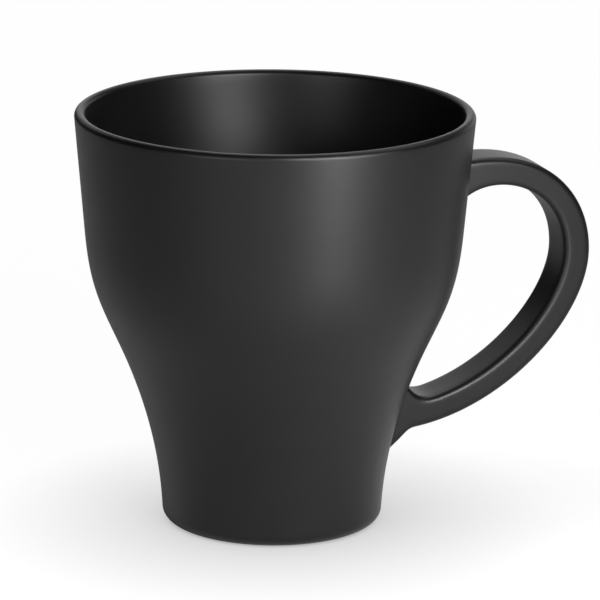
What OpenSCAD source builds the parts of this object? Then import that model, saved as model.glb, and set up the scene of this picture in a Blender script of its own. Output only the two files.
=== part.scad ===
// Stoneware mug with a full bowl, a drawn-in waist and a narrow foot.
// The cup and the handle are cast apart and luted together with slip at two joints.
// A coat of matt glaze covers everything but the ring that the cup stands on.
// Millimetres. The origin is the centre of the foot ring, on the table, with +Z up.
// The handle points along +X. Cup and handle sizes are those over the glaze.

/* [Cup] */
// Height from the table to the top of the lip
cup_h = 97; // [92:0.5:104]
// Radius at the lip, the widest place
rim_r = 46; // [44.5:0.25:49]
// Thickness of the rounded lip
lip_t = 2.5; // [2:0.1:3.2]
// Height of the shoulder, where the straight upper wall starts
shoulder_h = 68.5; // [65:0.5:72]
// Radius at the shoulder
shoulder_r = 43.6; // [42:0.2:44.4]
// Height of the waist, where the hollow curve turns into the full one
waist_h = 42; // [39:0.5:45]
// Radius at the waist
waist_r = 35.6; // [34:0.2:37]
// Lean of the wall at the waist, from upright, in degrees
waist_lean = 24.3; // [20:0.5:28]
// Radius of the foot above its rounded edge
foot_r = 25.6; // [24:0.2:27]
// Lean of the wall at the foot, from upright, in degrees
foot_lean = 3.1; // [0:0.1:6]
// Radius of the rounded edge round the foot
foot_round = 2.8; // [2:0.1:3.6]

/* [Cup inside] */
// Thickness of the clay wall below the lip
wall_t = 3.5; // [2.6:0.1:4]
// Depth below the lip at which the wall has its full thickness
lip_taper_h = 45; // [30:1:55]
// Thickness of the clay floor
floor_t = 4.5; // [3.5:0.1:6]
// Radius of the round corner between floor and wall
floor_corner = 9; // [6:0.5:11]

/* [Foot ring] */
// Width of the flat ring that the cup stands on
ring_w = 3; // [2:0.1:4]
// Depth of the glazed recess inside the ring
recess_d = 2; // [1.2:0.1:3]
// How far the recess narrows towards its top
recess_draft = 1.2; // [0.4:0.1:2]
// How far up the rounded foot edge the glaze is wiped off, in degrees
wipe_angle = 20; // [12:1:40]

/* [Handle] */
// Height of the handle's top edge where it meets the wall
handle_top_h = 83.3; // [80:0.5:86]
// Height of the upper root on the wall
upper_root_h = 9.5; // [8:0.1:12]
// How far the handle stands out past the lip
handle_reach = 30.6; // [27:0.2:36]
// Height at which the handle stands out furthest
handle_mid_h = 59.7; // [57:0.5:62]
// Thickness of the handle at that height
handle_t = 6.5; // [5.5:0.1:8]
// Width of the handle from side to side
handle_w = 11.6; // [9.5:0.1:14]
// Radius of the handle's rounded edges
handle_edge = 1.5; // [0.8:0.1:2.2]
// Height at which the outer curve starts to flare into the wall
neck_h = 19.9; // [18:0.2:22]
// How much higher the inner curve starts to flare
neck_rise = 7.5; // [6.5:0.1:9]
// Height at which the lower root ends on the wall
tail_h = 15; // [13:0.2:16]
// Height of the lower root on the wall
lower_root_h = 15.9; // [14:0.2:18]

/* [Joints and glaze] */
// Thickness of the slip between handle and wall
slip_t = 0.6; // [0.4:0.1:1]
// Thickness of the glaze
glaze_t = 0.25; // [0.2:0.05:0.35]

/* [Hidden] */
$fn = 96;

clay_color = "#6a6259";
slip_color = "#5c554d";
glaze_color = "#2b2b2d";

// Steps along each curve of the cup, and round its lip
cup_steps = 14;
lip_steps = 12;
// Steps along each curve of the handle, and round each of its edges
curve_steps = 24;
edge_steps = 4;
// Sections along the handle, and how strongly they crowd towards its roots
sections = 62;
crowding = 0.4;
// How far the handle's ends run into the wall before the wall trims them
root_bite = 1.9;

// Pulls of the cup's curves, as lengths of the tangents at their ends
foot_pull = 12.7;
waist_pull_below = 15;
waist_pull_above = 10.7;
shoulder_pull = 13;

// Directions and pulls of the handle's outer curve, and how far its neck stands off the wall
outer_start_angle = 9.7;
outer_pulls = [23.1, 13.3, 15.7, 24, 2.9, 7.4];
outer_neck_angle = 8;
outer_neck_gap = 5.6;
outer_end_angle = 36.7;

// The same for the inner curve, round the finger gap
inner_start_angle = 56;
inner_pulls = [10.9, 17.9, 10.8, 18.8, 5.5, 4.1];
inner_neck_angle = 16;
inner_neck_gap = 9;
inner_end_angle = -49.3;

// ---- Paths in the plane of radius and height ----

// Unit vector at an angle from the radius axis
function heading(angle) = [cos(angle), sin(angle)];

// Points of the curve that leaves a along a_angle and reaches b along b_angle
function curve(a, a_angle, a_pull, b, b_angle, b_pull, steps) = [
    for (i = [0:steps])
        let (
            u = i / steps,
            v = 1 - u,
            a_hand = a + a_pull * heading(a_angle),
            b_hand = b - b_pull * heading(b_angle)
        )
        v^3 * a + 3 * v^2 * u * a_hand + 3 * v * u^2 * b_hand + u^3 * b
];

// Points of an arc
function arc(centre, radius, from, to, steps) = [
    for (i = [0:steps]) centre + radius * heading(from + (to - from) * i / steps)
];

// A path without its first point, to join it on to the one before
function rest_of(path) = [for (i = [1:len(path) - 1]) path[i]];

function reversed(path) = [for (i = [len(path) - 1:-1:0]) path[i]];

// Unit normal on the left of a path at point i
function left_normal(path, i) =
    let (
        before = path[max(i - 1, 0)],
        after = path[min(i + 1, len(path) - 1)],
        along = (after - before) / norm(after - before)
    )
    [-along.y, along.x];

// The path moved sideways to its left
function moved_left(path, by) = [
    for (i = [0:len(path) - 1]) path[i] + by * left_normal(path, i)
];

// ---- Outline of the glazed cup, from the wiped foot edge up and over the lip to the floor ----

lip_centre = [rim_r - lip_t / 2, cup_h - lip_t / 2];
shoulder = [shoulder_r, shoulder_h];
waist = [waist_r, waist_h];

// The straight upper wall runs from the shoulder to touch the round lip
to_lip = lip_centre - shoulder;
wall_lean = atan2(to_lip.x, to_lip.y) + asin(lip_t / 2 / norm(to_lip));
wall_top = lip_centre + lip_t / 2 * heading(-wall_lean);

foot_centre = [foot_r - foot_round * cos(foot_lean), foot_round];
foot_top = foot_centre + foot_round * heading(-foot_lean);

foot_edge = arc(foot_centre, foot_round, wipe_angle - 90, -foot_lean, lip_steps / 2);
lower_wall = curve(
    foot_top, 90 - foot_lean, foot_pull, waist, 90 - waist_lean, waist_pull_below, cup_steps
);
upper_wall = curve(
    waist, 90 - waist_lean, waist_pull_above, shoulder, 90 - wall_lean, shoulder_pull, cup_steps
);
straight_wall = [
    for (i = [1:cup_steps]) shoulder + (wall_top - shoulder) * i / cup_steps
];
outer_wall = concat(lower_wall, rest_of(upper_wall), straight_wall);

lip = arc(lip_centre, lip_t / 2, -wall_lean, 180 - wall_lean, lip_steps);

// The wall is lip_t thick at the lip and eases to its full thickness over lip_taper_h
full_t = wall_t + 2 * glaze_t;
function ease(u) = u <= 0 ? 0 : u >= 1 ? 1 : u^2 * (3 - 2 * u);
function thickness_at(z) = lip_t + (full_t - lip_t) * ease((wall_top.y - z) / lip_taper_h);

floor_h = recess_d + floor_t + 2 * glaze_t;
inner_wall = [
    for (i = [len(outer_wall) - 2:-1:0])
        let (p = outer_wall[i] + thickness_at(outer_wall[i].y) * left_normal(outer_wall, i))
        if (p.y > floor_h + floor_corner) p
];
corner_top = inner_wall[len(inner_wall) - 1];
corner_along = corner_top - inner_wall[len(inner_wall) - 2];
corner_angle = atan2(corner_along.y, corner_along.x);
// A pull of this share of its radius makes a curve follow a quarter circle
round_share = 0.55;
floor_edge = curve(
    corner_top, corner_angle, (corner_top.y - floor_h) * round_share,
    [corner_top.x - floor_corner, floor_h], -180, floor_corner * round_share, lip_steps / 2
);

outside_skin = concat(foot_edge, rest_of(outer_wall), rest_of(lip));
inside_skin = concat(inner_wall, rest_of(floor_edge), [[0, floor_h]]);
skin = concat(outside_skin, inside_skin);
clay = moved_left(skin, glaze_t);

// Index of the last point of the outside in the skin, where the two glazes meet
seam = len(outside_skin) - 1;

function part_of(path, from, to) = [for (i = [from:to]) path[i]];

// Radius of the cup's outside at a height
wall_table = [for (p = outer_wall) [p.y, p.x]];
function wall_r(z) = lookup(z, wall_table);

recess_h = recess_d + glaze_t;
ring_outer_r = foot_centre.x;
ring_inner_r = ring_outer_r - ring_w;
function recess_r(z) = ring_inner_r - recess_draft * z / recess_h;

// ---- Outlines of the glazed handle, from its upper root to its lower root ----

tip_r = rim_r + handle_reach;

// Distances from the start of a path to each of its points
function distances(path, i = 0, sum = 0) =
    i == len(path) - 1
        ? [sum]
        : concat([sum], distances(path, i + 1, sum + norm(path[i + 1] - path[i])));

// The path cut into sections of its own length, closer together towards its ends
function spaced(path) =
    let (
        at = distances(path),
        xs = [for (i = [0:len(path) - 1]) [at[i], path[i].x]],
        ys = [for (i = [0:len(path) - 1]) [at[i], path[i].y]]
    )
    [
        for (i = [0:sections])
            let (
                u = i / sections,
                share = (1 - crowding) * u + crowding * (1 - cos(180 * u)) / 2,
                d = share * at[len(at) - 1]
            )
            [lookup(d, xs), lookup(d, ys)]
    ];

// One outline of the handle: out from the wall at top_h, round mid, in at the neck, to end_h
function handle_line(top_h, start, mid, neck_at, neck_gap, neck_turn, end_h, end_turn, pulls) =
    let (
        top = [wall_r(top_h), top_h] - root_bite * heading(start),
        neck = [wall_r(neck_at) + neck_gap, neck_at],
        root = [wall_r(end_h), end_h] - root_bite * heading(end_turn)
    )
    spaced(concat(
        curve(top, start, pulls[0], mid, -90, pulls[1], curve_steps),
        rest_of(curve(mid, -90, pulls[2], neck, neck_turn + 180, pulls[3], curve_steps)),
        rest_of(curve(
            neck, neck_turn + 180, pulls[4], root, end_turn + 180, pulls[5], curve_steps
        ))
    ));

outer_line = handle_line(
    handle_top_h, outer_start_angle, [tip_r, handle_mid_h],
    neck_h, outer_neck_gap, outer_neck_angle,
    tail_h, outer_end_angle, outer_pulls
);
inner_line = handle_line(
    handle_top_h - upper_root_h, inner_start_angle, [tip_r - handle_t, handle_mid_h],
    neck_h + neck_rise, inner_neck_gap, inner_neck_angle,
    tail_h + lower_root_h, inner_end_angle, inner_pulls
);

// ---- Handle as rings of points round its section ----

// One ring: a rounded rectangle between inner point a and outer point b, width wide
function ring(a, b, width, edge) =
    let (
        length = norm(b - a),
        along = (b - a) / length,
        half = width / 2 - edge,
        corners = [
            [length - edge, half, 0], [edge, half, 90], [edge, -half, 180], [length - edge, -half, 270]
        ]
    )
    [
        for (c = corners)
            for (k = [0:edge_steps])
                let (
                    way = heading(c[2] + 90 * k / edge_steps),
                    p = a + (c[0] + edge * way.x) * along
                )
                [p.x, c[1] + edge * way.y, p.y]
    ];

// All rings of the handle, a depth below its glazed surface
function rings(depth) =
    let (
        outside = moved_left(outer_line, -depth),
        inside = moved_left(inner_line, depth)
    )
    [
        for (i = [0:len(outside) - 1])
            ring(inside[i], outside[i], handle_w - 2 * depth, handle_edge - depth)
    ];

ring_size = 4 * (edge_steps + 1);

// Faces between count rings, from the point called first, facing out of or into the rings
function side_faces(count, first, facing_out) = [
    for (i = [0:count - 2])
        for (j = [0:ring_size - 1])
            let (
                a = first + i * ring_size + j,
                b = first + i * ring_size + (j + 1) % ring_size,
                c = b + ring_size,
                d = a + ring_size
            )
            each facing_out ? [[a, b, d], [b, c, d]] : [[a, d, b], [b, d, c]]
];

// The solid handle, a depth below its glazed surface, between two of its rings
module handle_bar(depth, from, to) {
    all = rings(depth);
    some = part_of(all, from, to);
    count = len(some);
    last = (count - 1) * ring_size;
    polyhedron(
        points = [for (r = some) each r],
        faces = concat(
            side_faces(count, 0, true),
            [[for (j = [ring_size - 1:-1:0]) j]],
            [[for (j = [0:ring_size - 1]) last + j]]
        )
    );
}

// The coat round the handle, as a tube with open ends that the cup's wall trims
module handle_tube() {
    outside = rings(0);
    inside = rings(glaze_t);
    count = len(outside);
    first_in = count * ring_size;
    last = (count - 1) * ring_size;
    polyhedron(
        points = concat([for (r = outside) each r], [for (r = inside) each r]),
        faces = concat(
            side_faces(count, 0, true),
            side_faces(count, first_in, false),
            [
                for (j = [0:ring_size - 1])
                    let (k = (j + 1) % ring_size)
                    each [[k, j, first_in + j], [first_in + k, k, first_in + j]]
            ],
            [
                for (j = [0:ring_size - 1])
                    let (k = (j + 1) % ring_size, a = last, b = first_in + last)
                    each [[a + j, a + k, b + j], [a + k, b + k, b + j]]
            ]
        )
    );
}

last_ring = sections;
// Rings at each end, enough to reach out through the wall's coat and the slip
root_rings = 6;

// The part of the clay handle that reaches into the wall at each end
module upper_root() {
    handle_bar(glaze_t, 0, root_rings);
}

module lower_root() {
    handle_bar(glaze_t, last_ring - root_rings, last_ring);
}

// ---- Turned shapes ----

// A profile turned round the cup's axis, closed on the side away from the handle
module turned(profile) {
    rotate([0, 0, 180]) rotate_extrude() polygon(profile);
}

// A solid of the cup's outside, a distance outside its glazed surface
module cup_blank(out) {
    side = moved_left(outer_wall, -out);
    low = side[0].y;
    high = side[len(side) - 1].y;
    turned(concat([[0, low]], side, [[0, high]]));
}

// The coat between two points of the skin
module coat(from, to) {
    turned(concat(part_of(skin, from, to), reversed(part_of(clay, from, to))));
}

// ---- Pieces ----

// Cast stoneware cup: wall, floor and foot ring in one
module cup() {
    color(clay_color)
        turned(concat(
            [[0, recess_h], [recess_r(recess_h), recess_h], [ring_inner_r, 0], [ring_outer_r, 0]],
            clay
        ));
}

// Slip between the wall and the handle's upper end
module upper_slip_joint() {
    color(slip_color) slip_between() upper_root();
}

// Slip between the wall and the handle's lower end
module lower_slip_joint() {
    color(slip_color) slip_between() lower_root();
}

// What a root holds between the clay wall and the end of the handle
module slip_between() {
    difference() {
        intersection() {
            children();
            cup_blank(slip_t - glaze_t);
        }
        cup_blank(-glaze_t);
    }
}

// Cast stoneware handle, trimmed to the wall with room for the slip
module handle() {
    color(clay_color)
        difference() {
            handle_bar(glaze_t, 0, last_ring);
            cup_blank(slip_t - glaze_t);
        }
}

// Glaze poured over the inside, up to the lip
module liner_glaze() {
    color(glaze_color) coat(seam, len(skin) - 1);
}

// Glaze sprayed on the outside and over the lip, open where the handle is luted on
module outer_glaze() {
    color(glaze_color)
        difference() {
            coat(0, seam);
            upper_root();
            lower_root();
        }
}

// Glaze in the recess under the floor
module base_glaze() {
    color(glaze_color)
        turned([
            [0, recess_d], [recess_r(recess_d), recess_d],
            [recess_r(recess_h), recess_h], [0, recess_h]
        ]);
}

// Glaze sprayed on the handle, down to the glaze on the wall
module handle_glaze() {
    color(glaze_color)
        difference() {
            handle_tube();
            cup_blank(0);
        }
}

cup();
upper_slip_joint();
lower_slip_joint();
handle();
liner_glaze();
outer_glaze();
base_glaze();
handle_glaze();
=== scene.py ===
import math

import bmesh
import bpy
import numpy as np
from mathutils import Matrix, Vector


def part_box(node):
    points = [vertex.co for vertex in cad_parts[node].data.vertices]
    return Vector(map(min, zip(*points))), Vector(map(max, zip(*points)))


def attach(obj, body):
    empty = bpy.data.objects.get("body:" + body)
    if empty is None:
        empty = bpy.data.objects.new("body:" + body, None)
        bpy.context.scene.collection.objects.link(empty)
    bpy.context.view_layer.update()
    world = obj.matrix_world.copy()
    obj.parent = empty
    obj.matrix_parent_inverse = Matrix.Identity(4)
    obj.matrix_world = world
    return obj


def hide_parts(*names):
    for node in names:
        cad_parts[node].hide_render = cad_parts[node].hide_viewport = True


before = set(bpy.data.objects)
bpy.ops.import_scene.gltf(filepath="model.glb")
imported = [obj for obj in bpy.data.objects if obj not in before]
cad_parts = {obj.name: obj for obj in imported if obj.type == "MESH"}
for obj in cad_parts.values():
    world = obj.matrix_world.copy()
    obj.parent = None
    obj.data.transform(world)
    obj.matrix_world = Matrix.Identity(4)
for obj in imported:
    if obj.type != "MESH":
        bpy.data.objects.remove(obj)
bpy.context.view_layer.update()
MM = 0.001


# ---- Stoneware cup ----
# Slip cast in one with its floor and foot ring, then sponged smooth round the lip.
# Glaze covers all of it but the flat ring it stands on, which is wiped bare before
# the firing so that the cup doesn't stick to the kiln shelf.

# Millimetres and degrees, as on the CAD cup. Outlines are over the glaze, points are radius
# and height, and WALL_T and FLOOR_T are clay alone.
LIP_T = 2.5
SHOULDER = (43.6, 68.5)
WAIST = (35.6, 42.0)
WAIST_LEAN = 24.3
FOOT_R = 25.6
FOOT_LEAN = 3.1
FOOT_ROUND = 2.8
WIPE_ANGLE = 20
WALL_T = 3.5
LIP_TAPER = 45
FLOOR_T = 4.5
FLOOR_CORNER = 9
RING_W = 3
RECESS_D = 2
RECESS_DRAFT = 1.2
GLAZE_T = 0.25

# Where the CAD cup has a straight side and a sharp edge: the direction in which the recess's
# side leaves its ceiling, in degrees, and how far the ring's inner edge is rounded
RECESS_LEAN = -70
RING_EDGE = 0.5

# Lengths of the tangents at the ends of each curve, in millimetres
FOOT_PULL = 12.7
WAIST_PULL_BELOW = 15
WAIST_PULL_ABOVE = 10.7
SHOULDER_PULL = 13
RECESS_PULL = 0.6
RING_PULL = 0.4
WIPE_PULL = 0.3
# The same for the floor's corner, as a share of its size
CORNER_PULL = 0.55

# Steps along each curve and points along each straight, and steps round the axis
CURVE_STEPS = 28
LIP_STEPS = 24
FOOT_STEPS = 12
CORNER_STEPS = 14
RECESS_STEPS = 8
WIPE_STEPS = 4
WALL_POINTS = 17
FLOOR_POINTS = 7
RING_POINTS = 5
TURNS = 240


def heading(degrees):
    """The unit vector at an angle from the radius axis."""
    return np.array([math.cos(math.radians(degrees)), math.sin(math.radians(degrees))])


def pulled_curve(a, a_angle, a_pull, b, b_angle, b_pull, steps):
    """Points of the curve that leaves a along a_angle and reaches b along b_angle."""
    a, b = np.array(a, float), np.array(b, float)
    u = np.linspace(0, 1, steps + 1)[:, None]
    v = 1 - u
    a_hand = a + a_pull * heading(a_angle)
    b_hand = b - b_pull * heading(b_angle)
    return v**3 * a + 3 * v**2 * u * a_hand + 3 * v * u**2 * b_hand + u**3 * b


def arc(centre, radius, start, end, steps):
    """Points of an arc between two angles."""
    turns = np.linspace(start, end, steps + 1)
    return np.array([np.array(centre) + radius * heading(t) for t in turns])


def left_normals(path):
    """Unit normals on the left of a path, one at each point."""
    along = np.gradient(path, axis=0)
    along /= np.linalg.norm(along, axis=1)[:, None]
    return np.stack([-along[:, 1], along[:, 0]], 1)


def joined(*paths):
    """Paths end to end, with no point twice where they meet."""
    return np.concatenate([paths[0]] + [p[1:] for p in paths[1:]])


outer_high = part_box("outer_glaze")[1]
cup_h = outer_high[2] / MM
rim_r = outer_high[1] / MM

lip_centre = np.array([rim_r - LIP_T / 2, cup_h - LIP_T / 2])
to_lip = lip_centre - np.array(SHOULDER)
wall_lean = math.degrees(
    math.atan2(to_lip[0], to_lip[1]) + math.asin(LIP_T / 2 / np.linalg.norm(to_lip))
)
wall_top = lip_centre + LIP_T / 2 * heading(-wall_lean)
foot_centre = np.array([FOOT_R - FOOT_ROUND * math.cos(math.radians(FOOT_LEAN)), FOOT_ROUND])
foot_top = foot_centre + FOOT_ROUND * heading(-FOOT_LEAN)

outer_wall = joined(
    pulled_curve(
        foot_top, 90 - FOOT_LEAN, FOOT_PULL,
        WAIST, 90 - WAIST_LEAN, WAIST_PULL_BELOW, CURVE_STEPS,
    ),
    pulled_curve(
        WAIST, 90 - WAIST_LEAN, WAIST_PULL_ABOVE,
        SHOULDER, 90 - wall_lean, SHOULDER_PULL, CURVE_STEPS,
    ),
    np.linspace(SHOULDER, wall_top, WALL_POINTS),
)

# The wall is thin at the lip and eases to its full thickness below it
eased = np.clip((wall_top[1] - outer_wall[:, 1]) / LIP_TAPER, 0, 1)
wall_depth = LIP_T + (WALL_T + 2 * GLAZE_T - LIP_T) * eased**2 * (3 - 2 * eased)
floor_h = RECESS_D + FLOOR_T + 2 * GLAZE_T
inner_wall = (outer_wall + wall_depth[:, None] * left_normals(outer_wall))[-1::-1]
inner_wall = inner_wall[inner_wall[:, 1] > floor_h + FLOOR_CORNER]
corner_way = inner_wall[-1] - inner_wall[-2]
corner_angle = math.degrees(math.atan2(corner_way[1], corner_way[0]))
floor_corner = pulled_curve(
    inner_wall[-1], corner_angle, CORNER_PULL * (inner_wall[-1][1] - floor_h),
    [inner_wall[-1][0] - FLOOR_CORNER, floor_h], 180, CORNER_PULL * FLOOR_CORNER, CORNER_STEPS,
)
skin = joined(
    arc(foot_centre, FOOT_ROUND, WIPE_ANGLE - 90, -FOOT_LEAN, FOOT_STEPS),
    outer_wall,
    arc(lip_centre, LIP_T / 2, -wall_lean, 180 - wall_lean, LIP_STEPS),
    inner_wall,
    floor_corner,
    np.linspace(floor_corner[-1], [0, floor_h], FLOOR_POINTS),
)
clay_skin = skin + GLAZE_T * left_normals(skin)
clay_skin[-1] = [0, floor_h - GLAZE_T]

ring_outer = foot_centre[0]
ring_inner = ring_outer - RING_W
recess_top = [ring_inner - RECESS_DRAFT, RECESS_D + GLAZE_T]
ring_start = [ring_inner + RING_EDGE, 0]
cup_section = joined(
    np.linspace([0, recess_top[1]], recess_top, RING_POINTS),
    pulled_curve(recess_top, RECESS_LEAN, RECESS_PULL, ring_start, 0, RECESS_PULL, RECESS_STEPS),
    np.linspace(ring_start, [ring_outer, 0], RING_POINTS),
    pulled_curve([ring_outer, 0], 0, RING_PULL, clay_skin[0], WIPE_ANGLE, WIPE_PULL, WIPE_STEPS),
    clay_skin,
)


def add(tree, kind, links=None, **settings):
    """Adds a node. links gives each named input a value or another node's output."""
    node = tree.nodes.new(kind)
    for key, value in settings.items():
        setattr(node, key, value)
    for key, value in (links or {}).items():
        if isinstance(value, bpy.types.NodeSocket):
            tree.links.new(value, node.inputs[key])
        else:
            node.inputs[key].default_value = value
    return node


# Points nearer than this, in metres, are one point: the axis and the seam of a turned piece
SAME_POINT = 2e-6


def turning_tree():
    """The Geometry Nodes tree that turns a section, point by point, round the cup's axis."""
    tree = bpy.data.node_groups.new("Turned on the wheel", "GeometryNodeTree")
    face = tree.interface
    face.new_socket("Section", in_out="INPUT", socket_type="NodeSocketGeometry")
    face.new_socket("Turns", in_out="INPUT", socket_type="NodeSocketInt")
    face.new_socket("Material", in_out="INPUT", socket_type="NodeSocketMaterial")
    face.new_socket("Piece", in_out="OUTPUT", socket_type="NodeSocketGeometry")
    given = tree.nodes.new("NodeGroupInput").outputs

    size = add(tree, "GeometryNodeAttributeDomainSize", {"Geometry": given["Section"]})
    rows = size.outputs["Point Count"]
    columns = add(tree, "ShaderNodeMath", {0: given["Turns"], 1: 1.0}, operation="ADD")
    grid = add(
        tree, "GeometryNodeMeshGrid", {"Vertices X": columns.outputs[0], "Vertices Y": rows}
    )
    index = add(tree, "GeometryNodeInputIndex").outputs[0]
    row = add(tree, "ShaderNodeMath", {0: index, 1: rows}, operation="MODULO")
    past = add(tree, "ShaderNodeMath", {0: index, 1: rows}, operation="DIVIDE")
    column = add(tree, "ShaderNodeMath", {0: past.outputs[0]}, operation="FLOOR")
    share = add(
        tree, "ShaderNodeMath", {0: column.outputs[0], 1: given["Turns"]}, operation="DIVIDE"
    )
    angle = add(tree, "ShaderNodeMath", {0: share.outputs[0], 1: math.tau}, operation="MULTIPLY")
    place = add(tree, "GeometryNodeInputPosition").outputs[0]
    section_point = add(
        tree, "GeometryNodeSampleIndex",
        {"Geometry": given["Section"], "Value": place, "Index": row.outputs[0]},
        data_type="FLOAT_VECTOR",
    )
    turned = add(
        tree, "ShaderNodeVectorRotate",
        {"Vector": section_point.outputs[0], "Angle": angle.outputs[0]},
        rotation_type="Z_AXIS",
    )
    shape = add(
        tree, "GeometryNodeSetPosition",
        {"Geometry": grid.outputs[0], "Position": turned.outputs[0]},
    )
    closed = add(
        tree, "GeometryNodeMergeByDistance",
        {"Geometry": shape.outputs[0], "Distance": SAME_POINT},
    )
    smooth = add(tree, "GeometryNodeSetShadeSmooth", {"Geometry": closed.outputs[0]})
    real = add(tree, "GeometryNodeRealizeInstances", {"Geometry": smooth.outputs[0]})
    covered = add(
        tree, "GeometryNodeSetMaterial",
        {"Geometry": real.outputs[0], "Material": given["Material"]},
    )
    add(tree, "NodeGroupOutput", {"Piece": covered.outputs[0]})
    return tree


TURNING = turning_tree()


def facing_out(mesh):
    """Turns the faces of a closed mesh outwards."""
    work = bmesh.new()
    work.from_mesh(mesh)
    bmesh.ops.recalc_face_normals(work, faces=work.faces)
    work.to_mesh(mesh)
    work.free()


def turned(name, section, material):
    """A piece turned from a section whose two ends lie on the axis."""
    points = [(r * MM, 0, z * MM) for r, z in section]
    line = bpy.data.meshes.new(name + "_section")
    line.from_pydata(points, [(i, i + 1) for i in range(len(points) - 1)], [])
    blank = bpy.data.objects.new(name + "_blank", line)
    bpy.context.collection.objects.link(blank)
    wheel = blank.modifiers.new("Wheel", "NODES")
    wheel.node_group = TURNING
    values = {"Turns": TURNS, "Material": material}
    for socket in TURNING.interface.items_tree:
        if socket.name in values:
            wheel[socket.identifier] = values[socket.name]
    ready = blank.evaluated_get(bpy.context.evaluated_depsgraph_get())
    mesh = bpy.data.meshes.new_from_object(ready)
    bpy.data.objects.remove(blank)
    bpy.data.meshes.remove(line)
    facing_out(mesh)
    piece = bpy.data.objects.new(name, mesh)
    bpy.context.collection.objects.link(piece)
    return piece


def srgb(hex_colour):
    """An sRGB hex colour as linear red, green, blue and alpha."""
    parts = [int(hex_colour[i : i + 2], 16) / 255 for i in (1, 3, 5)]
    return [p / 12.92 if p <= 0.04045 else ((p + 0.055) / 1.055) ** 2.4 for p in parts] + [1.0]


def new_material(name):
    """An empty material's tree and its output node."""
    material = bpy.data.materials.new(name)
    material.use_nodes = True
    tree = material.node_tree
    tree.nodes.clear()
    return material, tree, tree.nodes.new("ShaderNodeOutputMaterial")


def bare_stoneware():
    """Fired stoneware without glaze: a dry, warm grey body with dark iron specks and a gritty
    surface that scatters light evenly."""
    speck_spacing = 1.6 * MM
    patch_size = 12 * MM
    grit_size = 0.25 * MM
    grit_depth = 0.05 * MM
    material, tree, out = new_material("bare stoneware")
    place = add(tree, "ShaderNodeTexCoord").outputs["Object"]
    # Iron specks about 0.5 mm across, about a dozen to each square centimetre
    specks = add(tree, "ShaderNodeTexVoronoi", {"Vector": place, "Scale": 1 / speck_spacing})
    speck = add(
        tree, "ShaderNodeMapRange",
        {"Value": specks.outputs["Distance"], "From Min": 0.1, "From Max": 0.22},
    )
    # Patches of firing colour
    patches = add(
        tree, "ShaderNodeTexNoise", {"Vector": place, "Scale": 1 / patch_size, "Detail": 3.0}
    )
    body = add(
        tree, "ShaderNodeMix",
        {"Factor": patches.outputs[0], "A": srgb("#8f8577"), "B": srgb("#a39a8b")},
        data_type="RGBA",
    )
    colour = add(
        tree, "ShaderNodeMix",
        {"Factor": speck.outputs[0], "A": srgb("#54483c"), "B": body.outputs["Result"]},
        data_type="RGBA",
    )
    # Grit of the cast body
    grit = add(
        tree, "ShaderNodeTexNoise", {"Vector": place, "Scale": 1 / grit_size, "Detail": 2.0}
    )
    bump = add(
        tree, "ShaderNodeBump",
        {"Height": grit.outputs[0], "Strength": 0.5, "Distance": grit_depth},
    )
    clay = add(
        tree, "ShaderNodeBsdfPrincipled",
        {
            "Base Color": colour.outputs["Result"], "Roughness": 0.85,
            "IOR": 1.5, "Normal": bump.outputs[0],
        },
    )
    tree.links.new(clay.outputs[0], out.inputs["Surface"])
    return material


STONEWARE = bare_stoneware()
cup = turned("stoneware_cup", cup_section, STONEWARE)
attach(cup, "root")
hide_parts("cup")


# ---- Slip joints and the cast handle ----
# The handle is cast on its own, its ends are cut to the curve of the wall, and it is stuck
# on leather-hard with two dabs of wet slip. Firing makes one body of it, and the glaze
# hides the joints.

for node in ("upper_slip_joint", "handle", "lower_slip_joint"):
    for material_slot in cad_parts[node].material_slots:
        material_slot.material = STONEWARE


# ---- Glaze on the cup ----
# A liner poured in and out, and an outside coat sprayed over it, fused into one skin in the
# kiln. It is a black satin matt: dark, with a soft broad shine and no sharp reflection.

def black_satin_glaze():
    """Black satin-matt glaze, fired. Crystals too small to see blur every reflection into a
    soft sheen, and the surface has a faint pull, like fine leather."""
    drift_size = 9 * MM
    drift_depth = 0.3 * MM
    tooth_size = 0.35 * MM
    tooth_depth = 0.03 * MM
    material, tree, out = new_material("black satin glaze")
    place = add(tree, "ShaderNodeTexCoord").outputs["Object"]
    # Slow drift of the coat's thickness, which shifts its colour and sheen a little
    drift = add(
        tree, "ShaderNodeTexNoise", {"Vector": place, "Scale": 1 / drift_size, "Detail": 4.0}
    )
    colour = add(
        tree, "ShaderNodeMix",
        {"Factor": drift.outputs[0], "A": srgb("#090909"), "B": srgb("#0b0b0c")},
        data_type="RGBA",
    )
    rough = add(
        tree, "ShaderNodeMapRange",
        {
            "Value": drift.outputs[0], "From Min": 0.3, "From Max": 0.7,
            "To Min": 0.385, "To Max": 0.415,
        },
    )
    pull = add(
        tree, "ShaderNodeBump",
        {"Height": drift.outputs[0], "Strength": 0.15, "Distance": drift_depth},
    )
    # Fine tooth of the sprayed coat
    tooth = add(
        tree, "ShaderNodeTexNoise", {"Vector": place, "Scale": 1 / tooth_size, "Detail": 2.0}
    )
    bump = add(
        tree, "ShaderNodeBump",
        {
            "Height": tooth.outputs[0], "Strength": 0.15, "Distance": tooth_depth,
            "Normal": pull.outputs[0],
        },
    )
    glass = add(
        tree, "ShaderNodeBsdfPrincipled",
        {
            "Base Color": colour.outputs["Result"], "Roughness": rough.outputs[0],
            "IOR": 1.5, "Specular IOR Level": 0.35, "Normal": bump.outputs[0],
        },
    )
    tree.links.new(glass.outputs[0], out.inputs["Surface"])
    return material


GLAZE = black_satin_glaze()

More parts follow.
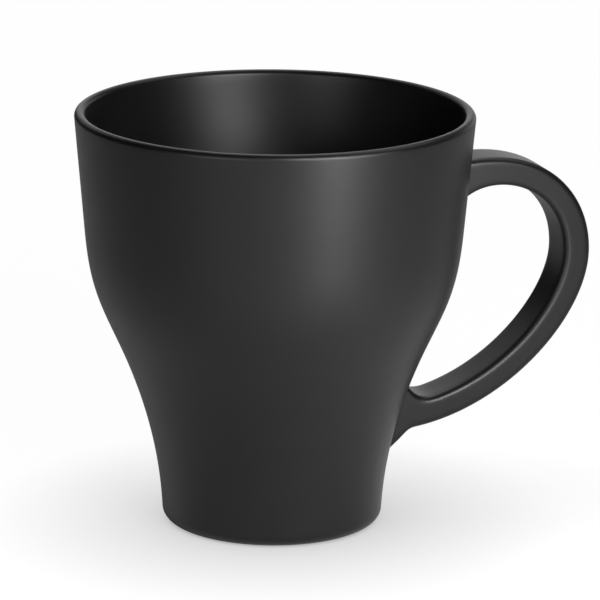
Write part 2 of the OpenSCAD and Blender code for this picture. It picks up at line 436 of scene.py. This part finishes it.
# The coat: out over the skin, round its edge at the wipe line, and back along the clay
COAT_EDGE_STEPS = 6
wipe_middle = (skin[0] + clay_skin[0]) / 2
wipe_turn = WIPE_ANGLE - 90
coat_section = joined(
    skin[::-1],
    arc(wipe_middle, GLAZE_T / 2, wipe_turn, wipe_turn - 180, COAT_EDGE_STEPS),
    clay_skin,
)
cup_glaze = turned("cup_glaze", coat_section, GLAZE)
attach(cup_glaze, "root")
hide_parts("liner_glaze", "outer_glaze")


# ---- Glaze in the recess under the floor ----
# The same glaze brushed into the shallow recess inside the foot ring. It pools a little
# where it meets the ring and stops short of the ring's edge.

# Millimetres: how far in from the ring the pool starts, how far below the recess's ceiling it
# ends and its edge meets the clay, and how far past the ceiling's edge its back reaches
POOL_IN = 2.2
POOL_DOWN = 0.35
COAT_END_DOWN = 0.25
COAT_BACK_OUT = 0.1
# Lengths of the tangents at the ends of the pool's curve
POOL_START_PULL = 0.5
POOL_END_PULL = 0.3
# Where the pool and the coat end, as shares of the recess's draft
POOL_END_AT = 0.82
COAT_END_AT = 0.6
# The back of the coat stops short of the clay, so that the two don't lie in one plane
COAT_DEPTH_SHARE = 0.8
BASE_STEPS = 6

pool_start = [ring_inner - POOL_IN, RECESS_D]
pool_end = [ring_inner - RECESS_DRAFT * POOL_END_AT, RECESS_D - POOL_DOWN]
coat_back = RECESS_D + GLAZE_T * COAT_DEPTH_SHARE
base_section = joined(
    np.linspace([0, RECESS_D], pool_start, BASE_STEPS),
    pulled_curve(pool_start, 0, POOL_START_PULL, pool_end, RECESS_LEAN, POOL_END_PULL, BASE_STEPS),
    np.array([
        pool_end,
        [ring_inner - RECESS_DRAFT * COAT_END_AT, RECESS_D - COAT_END_DOWN],
        [recess_top[0] + COAT_BACK_OUT, coat_back],
        [0, coat_back],
    ]),
)
base_glaze = turned("recess_glaze", base_section, GLAZE)
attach(base_glaze, "root")
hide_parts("base_glaze")


# ---- Glaze on the handle ----
# The outside coat runs on over the handle: flat sides and rounded edges, with small
# fillets of slip under the glaze where it grows out of the wall.

# Millimetres over the glaze, as on the CAD handle, but for ROOT_BITE, which is 0.5 more.
# So are the first and last pulls of each outline, whose ends lie inside the wall.
HANDLE_TOP_H = 83.3
UPPER_ROOT_H = 9.5
HANDLE_MID_H = 59.7
HANDLE_T = 6.5
HANDLE_EDGE = 1.5
NECK_H = 19.9
NECK_RISE = 7.5
TAIL_H = 15.0
LOWER_ROOT_H = 15.9
ROOT_BITE = 2.4

# Size of the fillets at the two roots, which the CAD handle doesn't have
FILLET = 0.9

# Steps along the loop's curves and its tail before they are evened out, then along each rail,
# round each edge and across each flat, and the rings along the body and up each fillet
LOOP_STEPS = 200
TAIL_STEPS = 120
RAIL_STEPS = 420
EDGE_STEPS = 6
FLAT_STEPS = 6
BODY_RINGS = 110
FILLET_STEPS = 7

handle_low, handle_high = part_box("handle_glaze")
tip_r = handle_high[0] / MM
handle_w = (handle_high[1] - handle_low[1]) / MM


def wall_r(z):
    """Radius of the glazed wall at a height."""
    return np.interp(z, outer_wall[:, 1], outer_wall[:, 0])


def handle_line(top_h, start, mid_r, neck_h, neck_gap, neck_turn, end_h, end_turn, pulls):
    """One outline of the handle in its own plane, cut into steps of even length. start and the
    two turns are directions in degrees, neck_gap is how far the neck stands off the wall, and
    pulls are the lengths of the tangents at the ends of its three curves."""
    top = np.array([wall_r(top_h), top_h]) - ROOT_BITE * heading(start)
    mid = [mid_r, HANDLE_MID_H]
    neck = [wall_r(neck_h) + neck_gap, neck_h]
    root = np.array([wall_r(end_h), end_h]) - ROOT_BITE * heading(end_turn)
    path = joined(
        pulled_curve(top, start, pulls[0], mid, -90, pulls[1], LOOP_STEPS),
        pulled_curve(mid, -90, pulls[2], neck, neck_turn + 180, pulls[3], LOOP_STEPS),
        pulled_curve(neck, neck_turn + 180, pulls[4], root, end_turn + 180, pulls[5], TAIL_STEPS),
    )
    at = np.concatenate([[0], np.cumsum(np.linalg.norm(np.diff(path, axis=0), axis=1))])
    even = np.linspace(0, at[-1], RAIL_STEPS + 1)
    return np.stack([np.interp(even, at, path[:, 0]), np.interp(even, at, path[:, 1])], 1)


outer_line = handle_line(
    top_h=HANDLE_TOP_H, start=9.7, mid_r=tip_r,
    neck_h=NECK_H, neck_gap=5.6, neck_turn=8,
    end_h=TAIL_H, end_turn=36.7, pulls=[23.6, 13.3, 15.7, 24, 2.9, 7.9],
)
inner_line = handle_line(
    top_h=HANDLE_TOP_H - UPPER_ROOT_H, start=56, mid_r=tip_r - HANDLE_T,
    neck_h=NECK_H + NECK_RISE, neck_gap=9, neck_turn=16,
    end_h=TAIL_H + LOWER_ROOT_H, end_turn=-49.3, pulls=[11.4, 17.9, 10.8, 18.8, 5.5, 4.6],
)


def section_corners(edge_steps, flat_steps):
    """The handle's rounded section, as (end, side, angle, slide) marks: which end of the
    thickness, which side of the width, the angle round the edge, and the share of the way
    along the flat to the next edge."""
    marks = []
    for number, (end, side) in enumerate([(1, 1), (0, 1), (0, -1), (1, -1)]):
        for k in range(edge_steps + 1):
            marks.append((end, side, 90 * (number + k / edge_steps), 0.0))
        for k in range(1, flat_steps):
            marks.append((end, side, 90 * (number + 1), k / flat_steps))
    return marks


def rails(depth):
    """Lines along the handle, one for each mark round its section, with the directions
    that face out of them. depth is how far they lie under the glazed surface."""
    outside = outer_line - depth * left_normals(outer_line)
    inside = inner_line + depth * left_normals(inner_line)
    across = outside - inside
    thickness = np.linalg.norm(across, axis=1)
    across /= thickness[:, None]
    edge = HANDLE_EDGE - depth
    half = handle_w / 2 - depth - edge
    corners = {1: thickness - edge, 0: np.full(len(thickness), edge)}
    marks = section_corners(EDGE_STEPS, FLAT_STEPS)
    points, ways = [], []
    for end, side, angle, slide in marks:
        way = heading(angle)
        near = np.stack([corners[end], np.full(len(thickness), side * half)], 1)
        next_end, next_side = {(1, 1): (0, 1), (0, 1): (0, -1), (0, -1): (1, -1), (1, -1): (1, 1)}[
            (end, side)
        ]
        far = np.stack([corners[next_end], np.full(len(thickness), next_side * half)], 1)
        place = near + (far - near) * slide + edge * way
        flat = inside + across * place[:, :1]
        points.append(np.stack([flat[:, 0], place[:, 1], flat[:, 1]], 1))
        out = across * way[0]
        ways.append(np.stack([out[:, 0], np.full(len(out), way[1]), out[:, 1]], 1))
    return np.array(points), np.array(ways)


# Millimetres above and below a height over which the wall's slope is taken
SLOPE_REACH = 0.2


def wall_slope(z):
    """How fast the wall widens with height."""
    return (wall_r(z + SLOPE_REACH) - wall_r(z - SLOPE_REACH)) / (2 * SLOPE_REACH)


def wall_normal(point):
    """The direction out of the cup's wall next to a point."""
    slope = wall_slope(point[2])
    radial = np.array([point[0], point[1], 0]) / math.hypot(point[0], point[1])
    normal = radial - np.array([0, 0, slope])
    return normal / np.linalg.norm(normal)


def off_wall(points):
    """How far points stand off the glazed wall, square to it."""
    slope = wall_slope(points[..., 2])
    gap = np.hypot(points[..., 0], points[..., 1]) - wall_r(points[..., 2])
    return gap / np.sqrt(1 + slope**2)


def along(rail, at):
    """Points on a rail at fractional steps."""
    steps = np.arange(len(rail))
    return np.stack([np.interp(at, steps, rail[:, k]) for k in range(3)], -1)


def step_at(rail, height, first):
    """The fractional step at which a rail stands a height off the wall, in the quarter of it
    at its first or last end."""
    gaps = off_wall(rail)
    reach = len(rail) // 4
    if first:
        return np.interp(height, gaps[:reach], np.arange(reach))
    from_last = np.arange(len(rail) - 1, len(rail) - reach - 1, -1)
    return np.interp(height, gaps[: -reach - 1 : -1], from_last)


# Millimetres that the fillet's edge runs on past its foot, and sinks under the wall's glaze
FILLET_LAP = 0.15
FILLET_SINK = 0.06


def fillet_rings(points, ways, first):
    """Rings of the fillet at one root, from the wall outwards to where the handle's own
    surface starts."""
    rings = []
    for k in range(FILLET_STEPS + 1):
        angle = math.radians(90 * (1 - k / FILLET_STEPS))
        height = FILLET * (1 - math.sin(angle))
        spread = FILLET * (1 - math.cos(angle))
        ring = []
        for rail, way in zip(points, ways):
            at = step_at(rail, height, first)
            place = along(rail, at)
            normal = wall_normal(place)
            out = along(way, at)
            out = out - normal * out.dot(normal)
            out /= np.linalg.norm(out)
            place = place + out * spread
            normal = wall_normal(place)
            ring.append(place + normal * (height - off_wall(place)))
        rings.append(np.array(ring))
    # The fillet's edge dips under the glaze of the wall, so that no line shows
    outward = rings[0] - rings[1]
    outward /= np.linalg.norm(outward, axis=1)[:, None]
    edge = rings[0] + outward * FILLET_LAP
    sunk = np.array([p + wall_normal(p) * (-FILLET_SINK - off_wall(p)) for p in edge])
    return [sunk] + rings


# Share of the rings' spacing that is even. The rest crowds them towards the roots.
EVEN_SHARE = 0.6


def body_rings(points, low, high, count):
    """Rings along the handle, between a height off the wall at its first root and one at its
    last."""
    starts = [step_at(rail, low, True) for rail in points]
    ends = [step_at(rail, high, False) for rail in points]
    shares = np.linspace(0, 1, count)
    shares = EVEN_SHARE * shares + (1 - EVEN_SHARE) * (1 - np.cos(np.pi * shares)) / 2
    return [
        np.array([along(r, s + (e - s) * u) for r, s, e in zip(points, starts, ends)])
        for u in shares
    ]


# Millimetres inside the wall at which the coat's inner face ends
COAT_ROOT = 0.2

out_points, out_ways = rails(0)
in_points = rails(GLAZE_T)[0]
upper = fillet_rings(out_points, out_ways, True)
lower = fillet_rings(out_points, out_ways, False)
outer_rings = upper[:-1] + body_rings(out_points, FILLET, FILLET, BODY_RINGS) + lower[-2::-1]
inner_rings = body_rings(in_points, -COAT_ROOT, -COAT_ROOT, BODY_RINGS)
all_rings = outer_rings + inner_rings[::-1]

around = len(all_rings[0])
faces = []
for i in range(len(all_rings)):
    below = (i + 1) % len(all_rings)
    for j in range(around):
        beside = (j + 1) % around
        faces.append((i * around + j, i * around + beside, below * around + beside, below * around + j))
handle_mesh = bpy.data.meshes.new("handle_glaze")
handle_mesh.from_pydata([tuple(p * MM) for ring in all_rings for p in ring], [], faces)
handle_mesh.materials.append(GLAZE)
handle_mesh.shade_smooth()
facing_out(handle_mesh)
handle_glaze = bpy.data.objects.new("handle_glaze_coat", handle_mesh)
bpy.context.collection.objects.link(handle_glaze)
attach(handle_glaze, "root")
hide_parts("handle_glaze")


# ---- Table and light ----
# A white table in a room that is white to the camera and gives no light. A small key softbox
# and two cards stand close at the mug's right front, a low fill at its left front, and six
# softboxes behind and above it.

# Metres round the mug within which a shadow is painted into the table's glow, and the glow under that
# painted shadow and in the open, where 1 is white
PAINTED_SHADOW_REACH = 0.045
PAINTED_SHADOW_GLOW = 0.36
OPEN_GLOW = 0.965


def white_table():
    """Smooth white laminate. To the camera it is close to white from a glow of its own, with a painted
    shadow that dims the glow where the mug stands over it, and only a little of the lamps' light and
    shadow. It lights the mug as plain white laminate would."""
    material, tree, out = new_material("white laminate")
    lit = add(tree, "ShaderNodeBsdfDiffuse", {"Color": srgb("#e7e7e7")})
    shade = add(tree, "ShaderNodeBsdfDiffuse", {"Color": srgb("#3f3f3f")})
    # Painted shadow: how much the mug hides the table nearby dims the table's glow to the camera
    painted_shadow_ao = add(
        tree, "ShaderNodeAmbientOcclusion", {"Distance": PAINTED_SHADOW_REACH}, samples=12
    )
    glow_and_painted_shadow = add(
        tree, "ShaderNodeMapRange",
        {"Value": painted_shadow_ao.outputs["AO"], "To Min": PAINTED_SHADOW_GLOW, "To Max": OPEN_GLOW},
    )
    glow = add(
        tree, "ShaderNodeEmission",
        {"Color": srgb("#ffffff"), "Strength": glow_and_painted_shadow.outputs[0]},
    )
    seen = add(tree, "ShaderNodeAddShader", {0: shade.outputs[0], 1: glow.outputs[0]})
    ray = add(tree, "ShaderNodeLightPath")
    surface = add(
        tree, "ShaderNodeMixShader",
        {0: ray.outputs["Is Camera Ray"], 1: lit.outputs[0], 2: seen.outputs[0]},
    )
    tree.links.new(surface.outputs[0], out.inputs["Surface"])
    return material


table_mesh = bpy.data.meshes.new("table")
HALF_TABLE = 4.0
table_mesh.from_pydata(
    [(x * HALF_TABLE, y * HALF_TABLE, 0) for x, y in ((-1, -1), (1, -1), (1, 1), (-1, 1))],
    [], [(0, 1, 2, 3)],
)
table_mesh.materials.append(white_table())
table = bpy.data.objects.new("table", table_mesh)
bpy.context.collection.objects.link(table)

world = bpy.data.worlds.new("white room")
world.use_nodes = True
room = world.node_tree
room.nodes.clear()
seen_room = add(room, "ShaderNodeLightPath")
room_light = add(room, "ShaderNodeBackground", {"Color": srgb("#ffffff"), "Strength": 0.0})
room_white = add(room, "ShaderNodeBackground", {"Color": srgb("#ffffff"), "Strength": 1.0})
room_mix = add(
    room, "ShaderNodeMixShader",
    {0: seen_room.outputs["Is Camera Ray"], 1: room_light.outputs[0], 2: room_white.outputs[0]},
)
add(room, "ShaderNodeOutputWorld", {"Surface": room_mix.outputs[0]})
bpy.context.scene.world = world

# How far the lamps and the camera are turned round the mug from square to the handle, in degrees
HANDLE_TURN = 18.4
# Metres up the mug's axis at which the lamps point
AIM_H = 0.06


def aimed(obj, place, target):
    """Puts a lamp in place, pointing at a target."""
    obj.location = place
    obj.rotation_euler = (Vector(target) - Vector(place)).to_track_quat("-Z", "Y").to_euler()


def soft_lamp(name, azimuth, elevation, distance, width, height, power):
    """A softbox round the mug. Azimuth 0 is at the camera's side, turning to its right."""
    lamp = bpy.data.lights.new(name, "AREA")
    lamp.shape = "RECTANGLE"
    lamp.size = width
    lamp.size_y = height
    lamp.energy = power
    obj = bpy.data.objects.new(name, lamp)
    bpy.context.collection.objects.link(obj)
    turn = math.radians(azimuth - HANDLE_TURN - 90)
    flat = distance * math.cos(math.radians(elevation))
    place = (flat * math.cos(turn), flat * math.sin(turn), distance * math.sin(math.radians(elevation)))
    aimed(obj, place, (0, 0, AIM_H))


# Azimuth and elevation in degrees, distance, width and height in metres, and power in watts
soft_lamp("key softbox", 25, 29, 0.515, 0.18, 0.18, 1.95)
soft_lamp("upper card", 39, 30.6, 0.2555, 0.07, 0.07, 0.24)
soft_lamp("lower card", 32, 12.8, 0.2256, 0.07, 0.07, 0.12)
soft_lamp("front fill", -30, 9, 1.5, 0.77, 0.44, 5.53)
soft_lamp("high side softbox", 120, 57, 1.5, 0.63, 0.75, 3.04)
soft_lamp("high back softbox", 180, 57, 1.5, 0.63, 0.75, 3.81)
soft_lamp("back softbox", 180, 32, 1.5, 0.66, 0.75, 1.13)
soft_lamp("left back softbox", 210, 32, 1.5, 0.66, 0.75, 0.93)
soft_lamp("low back softbox", 180, 9, 1.5, 0.77, 0.44, 1.44)
soft_lamp("low side softbox", 150, 9, 1.5, 0.77, 0.44, 1.01)

# ---- Camera ----
# A long lens a metre away, looking down at the mug by 15 degrees.

# Metres from the mug's axis and above the table, then degrees
CAMERA_D = 1.0056
CAMERA_H = 0.3210
YAW = 0.348
PITCH = 14.97
ROLL = 0.60
# Millimetres
SENSOR_W = 36
LENS = 270
# Metres, past the far corner of the table
VIEW_END = 20

camera_data = bpy.data.cameras.new("camera")
camera_data.sensor_width = SENSOR_W
camera_data.lens = LENS
camera_data.clip_end = VIEW_END
camera = bpy.data.objects.new("camera", camera_data)
bpy.context.collection.objects.link(camera)
turn = math.radians(-HANDLE_TURN)
place = Matrix.Rotation(turn, 4, "Z") @ Matrix.Translation((0, -CAMERA_D, CAMERA_H))
look = (
    Matrix.Rotation(math.radians(-YAW), 4, "Z")
    @ Matrix.Rotation(math.radians(90 - PITCH), 4, "X")
    @ Matrix.Rotation(math.radians(ROLL), 4, "Z")
)
camera.matrix_world = place @ look
scene = bpy.context.scene
scene.camera = camera
scene.view_settings.view_transform = "Standard"
